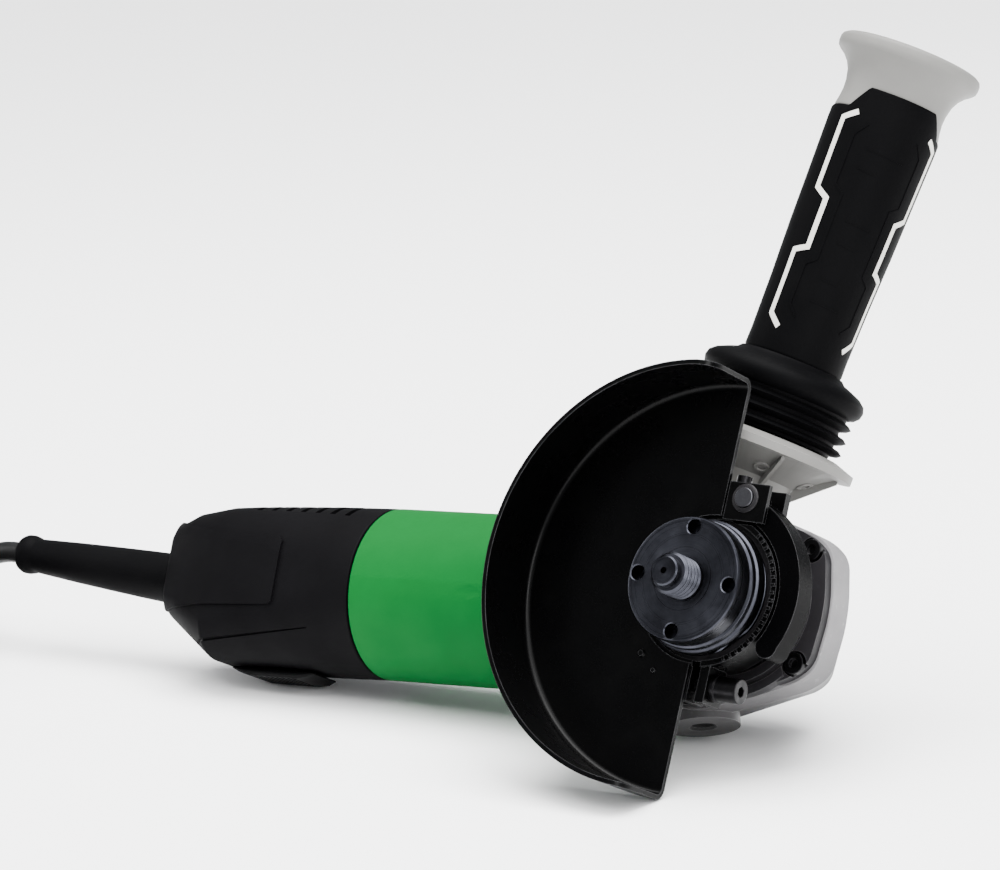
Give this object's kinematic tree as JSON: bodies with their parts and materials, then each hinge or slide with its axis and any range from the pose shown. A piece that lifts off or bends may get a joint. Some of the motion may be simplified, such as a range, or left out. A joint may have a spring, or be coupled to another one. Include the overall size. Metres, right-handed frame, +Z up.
{
  "type": "angle grinder",
  "caption": "Corded angle grinder with a round motor housing, half wheel guard, pin-hole lock nut and a leaning side handle, lying on its side.",
  "frame": {"origin": "on the floor, under the middle of the tool's box without its free cord", "axes": "+Z up from the floor; +X forward along the motor axis, which falls 2.45 degrees towards the tail; the disc side faces -Y and up"},
  "size_m": [0.4785, 0.2327, 0.2344],
  "materials": {
    "housing_green": "fine moulded texture",
    "dark_plastic": "moulded",
    "slider_plastic": "moulded",
    "cast_grey": "painted aluminium casting",
    "cast_dark": "painted casting",
    "black_screw": "blackened",
    "zinc_steel": "zinc plated",
    "white_nylon": "moulded",
    "core_steel": "laminated",
    "copper_wire": "enamelled copper",
    "bearing_steel": "ground",
    "gear_steel": "machined",
    "brass": "machined",
    "carbon": "matt",
    "rubber": "fine grain",
    "cord_sheath": "satin",
    "nickel": "nickel plated",
    "dark_steel": "blued and turned",
    "guard_paint": "gloss",
    "lever_paint": "gloss",
    "handle_white": "moulded"
  },
  "bodies": {
    "tool": {"motor_housing": "housing_green", "tail_cover": "dark_plastic", "gear_case": "cast_grey", "bearing_cover": "cast_dark", "bearing_cover_screws": "black_screw", "gear_case_screws": "zinc_steel", "tail_cover_screws": "zinc_steel", "fan_baffle": "white_nylon", "stator_core": "core_steel", "stator_coils": "copper_wire", "front_motor_bearing": "bearing_steel", "rear_motor_bearing": "bearing_steel", "rear_bearing_bush": "rubber", "brush_holders": "brass", "carbon_brushes": "carbon", "brush_springs": "bearing_steel", "switch_body": "dark_plastic", "cord_clamp": "dark_plastic", "cord_clamp_screws": "zinc_steel", "cord_guard": "rubber", "power_cord": "cord_sheath", "cord_coil": "cord_sheath", "cord_end": "cord_sheath", "plug_body": "cord_sheath", "plug_pins": "nickel", "spindle_bearing": "bearing_steel", "bearing_retainer": "zinc_steel", "spindle_bush": "brass", "dust_seal": "rubber", "lock_spring": "bearing_steel", "handle_stud": "zinc_steel", "handle_base": "handle_white", "handle_bellows": "rubber", "handle_grip": "rubber", "handle_core": "handle_white"},
    "spindle_group": {"spindle": "dark_steel", "bevel_gear": "gear_steel", "inner_flange": "dark_steel", "lock_nut": "dark_steel"},
    "armature": {"motor_shaft": "bearing_steel", "armature_core": "core_steel", "armature_windings": "copper_wire", "commutator": "copper_wire", "cooling_fan": "white_nylon", "pinion_gear": "gear_steel"},
    "guard": {"wheel_guard": "guard_paint", "guard_collar": "guard_paint", "clamp_screw": "black_screw", "clamp_nut": "zinc_steel", "tension_screw": "black_screw", "lever_pin": "zinc_steel"},
    "lever": {"guard_lever": "lever_paint"},
    "slider": {"switch_slider": "slider_plastic"},
    "lock": {"lock_button": "slider_plastic", "lock_pin": "bearing_steel"}
  },
  "joints": [
    {"name": "spindle_spin", "type": "hinge", "parent": "tool", "child": "spindle_group", "pos_m": [0.14382, -0.00277, 0.04372], "axis": [-0.0189, -0.8986, 0.4384], "continuous": true},
    {"name": "armature_spin", "type": "hinge", "parent": "tool", "child": "armature", "pos_m": [0.14382, -0.00277, 0.04372], "axis": [0.9991, 0, 0.0431], "continuous": true},
    {"name": "guard_turn", "type": "hinge", "parent": "tool", "child": "guard", "pos_m": [0.14295, -0.0441, 0.06389], "axis": [-0.0189, -0.8986, 0.4384], "range_deg": [-90, 90]},
    {"name": "guard_lever_swing", "type": "hinge", "parent": "guard", "child": "lever", "pos_m": [0.15162, -0.02517, 0.08937], "axis": [-0.0189, -0.8986, 0.4384], "range_deg": [0, 26], "stiffness_Nm_per_rad": 0.05},
    {"name": "switch_slide", "type": "slide", "parent": "tool", "child": "slider", "axis": [0.9991, 0, 0.0431], "range_m": [0, 0.007]},
    {"name": "lock_press", "type": "slide", "parent": "tool", "child": "lock", "axis": [-0.0189, -0.8986, 0.4384], "range_m": [0, 0.0045], "stiffness_N_per_m": 600, "springref_m": -0.002, "deforming": ["lock_spring"]}
  ],
  "couplings": [
    {"joint": "armature_spin", "follows": "spindle_spin", "ratio": 3.3636}
  ]
}
